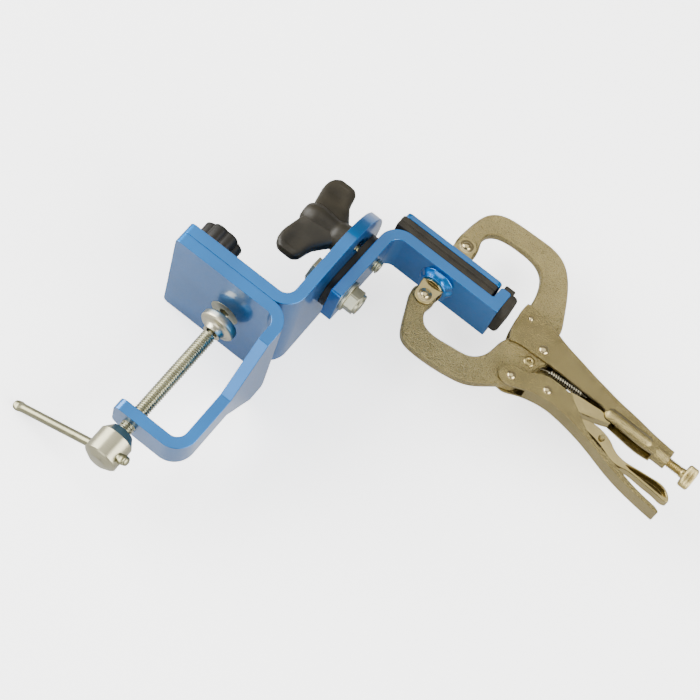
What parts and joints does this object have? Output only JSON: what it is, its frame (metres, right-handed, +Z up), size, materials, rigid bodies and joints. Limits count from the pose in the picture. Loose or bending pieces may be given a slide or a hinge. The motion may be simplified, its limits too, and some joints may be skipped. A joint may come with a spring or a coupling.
{
  "type": "bench-mount holding clamp",
  "caption": "Screw-on bench clamp with a turning bracket and tilting arm, holding work between rubber-faced jaws that locking C pliers close",
  "frame": {"origin": "on the floor under the middle of the box, lying on the long edges of the two wide bars", "axes": "+X along the top plate and the tilt axis towards the pliers, +Y away from the clamp screw handle, +Z up through the width of the bars"},
  "size_m": [0.2968, 0.2542, 0.0762],
  "materials": {
    "blue_paint": "glossy metallic blue paint over flat steel bar, brighter on the sawn edges",
    "zinc_plate": "bright zinc plating with a slight straw tint",
    "bare_aluminium": "turned and lightly brushed aluminium",
    "black_plastic": "satin black moulded plastic with soft highlights",
    "black_rubber": "matt brown-black rubber sheet",
    "nickel_plate": "warm nickel plating, pebbled on the forgings and smooth on the pressed handles",
    "bright_rivet": "polished nickel-plated rivet heads",
    "nylon": "translucent straw nylon insert",
    "spring_wire": "dark oiled spring wire"
  },
  "bodies": {
    "clamp_frame": {"bench_clamp_frame": "blue_paint", "swivel_screw": "zinc_plate", "swivel_washer": "zinc_plate", "swivel_nut": "zinc_plate", "swivel_nut_insert": "nylon"},
    "screw_tip": {"ball_tip": "zinc_plate"},
    "pad": {"swivel_pad": "zinc_plate"},
    "clamp_screw": {"clamp_screw": "zinc_plate", "screw_head": "bare_aluminium"},
    "tommy_bar": {"tommy_bar": "zinc_plate"},
    "turning_bracket": {"turning_bracket": "blue_paint", "tilt_bolt": "zinc_plate", "tilt_head_washer": "zinc_plate", "tilt_nut_washer": "zinc_plate", "tilt_nut": "zinc_plate", "tilt_nut_insert": "nylon"},
    "lock_stud": {"swivel_lock_stud": "zinc_plate"},
    "lock_knob": {"swivel_lock_knob": "black_plastic"},
    "tilting_arm": {"tilting_arm": "blue_paint", "friction_spacer": "black_plastic", "fixed_jaw_strip": "black_rubber", "lip_bumper": "black_rubber", "fixed_pad_weld": "blue_paint", "fixed_swivel_foot": "nickel_plate", "fixed_foot_rivet": "bright_rivet"},
    "wing_stud": {"tilt_lock_stud": "zinc_plate"},
    "wing_knob": {"wing_knob": "black_plastic"},
    "lower_jaw": {"lower_jaw": "nickel_plate", "return_spring": "spring_wire"},
    "plier_frame": {"upper_jaw": "nickel_plate", "upper_handle": "nickel_plate", "jaw_pivot_rivet": "bright_rivet", "jaw_spot_rivet": "bright_rivet"},
    "moving_jaw": {"moving_jaw_plate": "blue_paint", "moving_jaw_strip": "black_rubber", "moving_pad_weld": "blue_paint", "moving_swivel_foot": "nickel_plate", "moving_foot_rivet": "bright_rivet"},
    "lower_handle": {"lower_handle": "nickel_plate", "lower_pivot_rivet": "bright_rivet", "link_rivet": "bright_rivet", "lever_pin": "nickel_plate"},
    "toggle_link": {"toggle_link": "nickel_plate"},
    "release_lever": {"release_lever": "nickel_plate"},
    "adjusting_screw": {"adjusting_screw": "nickel_plate"},
    "knurled_head": {"knurled_head": "nickel_plate"}
  },
  "joints": [
    {"name": "screw_travel", "type": "slide", "parent": "clamp_frame", "child": "screw_tip", "axis": [0, 1, 0], "range_m": [-0.045, 0.00278]},
    {"name": "screw_turn", "type": "hinge", "parent": "screw_tip", "child": "clamp_screw", "pos_m": [-0.08985, -0.07763, 0.0381], "axis": [0, 1, 0], "range_deg": [-11400, 700]},
    {"name": "pad_tip", "type": "hinge", "parent": "screw_tip", "child": "pad", "pos_m": [-0.08985, -0.03288, 0.0381], "axis": [1, 0, 0], "range_deg": [-6, 6]},
    {"name": "bar_slide", "type": "slide", "parent": "clamp_screw", "child": "tommy_bar", "axis": [0.8526, 0, 0.5225], "range_m": [0, 0.052]},
    {"name": "bracket_swivel", "type": "hinge", "parent": "clamp_frame", "child": "turning_bracket", "pos_m": [-0.09185, -0.01763, 0.0381], "axis": [0, 1, 0], "range_deg": [-130, 130]},
    {"name": "lock_travel", "type": "slide", "parent": "turning_bracket", "child": "lock_stud", "axis": [0, 1, 0], "range_m": [0, 0.00282]},
    {"name": "lock_turn", "type": "hinge", "parent": "lock_stud", "child": "lock_knob", "pos_m": [-0.11785, -0.00263, 0.0381], "axis": [0, 1, 0], "range_deg": [0, 725]},
    {"name": "arm_tilt", "type": "hinge", "parent": "turning_bracket", "child": "tilting_arm", "pos_m": [-0.05625, 0.02587, 0.0381], "axis": [1, 0, 0], "range_deg": [-41.5, 57.5]},
    {"name": "wing_travel", "type": "slide", "parent": "tilting_arm", "child": "wing_stud", "axis": [1, 0, 0], "range_m": [-0.00282, 0]},
    {"name": "wing_turn", "type": "hinge", "parent": "wing_stud", "child": "wing_knob", "pos_m": [-0.08945, 0.05103, 0.03456], "axis": [1, 0, 0], "range_deg": [-725, 0]},
    {"name": "lower_jaw_pivot", "type": "hinge", "parent": "tilting_arm", "child": "lower_jaw", "pos_m": [-0.01945, 0.05231, 0.03438], "axis": [0, 0.1392, 0.9903], "range_deg": [0, 6.78]},
    {"name": "jaw_open", "type": "hinge", "parent": "lower_jaw", "child": "plier_frame", "pos_m": [0.04665, 0.07014, 0.03188], "axis": [0, -0.1392, -0.9903], "range_deg": [0, 12.2]},
    {"name": "moving_jaw_pivot", "type": "hinge", "parent": "plier_frame", "child": "moving_jaw", "pos_m": [-0.01945, 0.09222, 0.02877], "axis": [0, 0.1392, 0.9903], "range_deg": [0, 5.82]},
    {"name": "handle_pivot", "type": "hinge", "parent": "lower_jaw", "child": "lower_handle", "pos_m": [0.04175, 0.04568, 0.03532], "axis": [0, -0.1392, -0.9903], "range_deg": [0, 42.61]},
    {"name": "link_pivot", "type": "hinge", "parent": "lower_handle", "child": "toggle_link", "pos_m": [0.06105, 0.05182, 0.03445], "axis": [0, 0.1392, 0.9903], "range_deg": [0, 50.49]},
    {"name": "release_pivot", "type": "hinge", "parent": "lower_handle", "child": "release_lever", "pos_m": [0.09795, 0.05013, 0.03469], "axis": [0, -0.1392, -0.9903], "range_deg": [0, 5]},
    {"name": "adjust_travel", "type": "slide", "parent": "plier_frame", "child": "adjusting_screw", "axis": [1, 0, 0], "range_m": [0, 0.00529]},
    {"name": "adjust_turn", "type": "hinge", "parent": "adjusting_screw", "child": "knurled_head", "pos_m": [0.14255, 0.06489, 0.03262], "axis": [1, 0, 0], "range_deg": [0, 1815]}
  ],
  "couplings": [
    {"joint": "screw_travel", "follows": "screw_turn", "m_per_rad": 0.00022457},
    {"joint": "lock_turn", "follows": "lock_travel", "rad_per_m": 4453},
    {"joint": "wing_turn", "follows": "wing_travel", "rad_per_m": 4453},
    {"joint": "lower_jaw_pivot", "follows": "jaw_open", "ratio": 0.539},
    {"joint": "moving_jaw_pivot", "follows": "jaw_open", "ratio": 0.461},
    {"joint": "handle_pivot", "follows": "jaw_open", "ratio": 3.4515},
    {"joint": "link_pivot", "follows": "jaw_open", "ratio": 4.0978},
    {"joint": "adjust_turn", "follows": "adjust_travel", "rad_per_m": 5938.7}
  ]
}
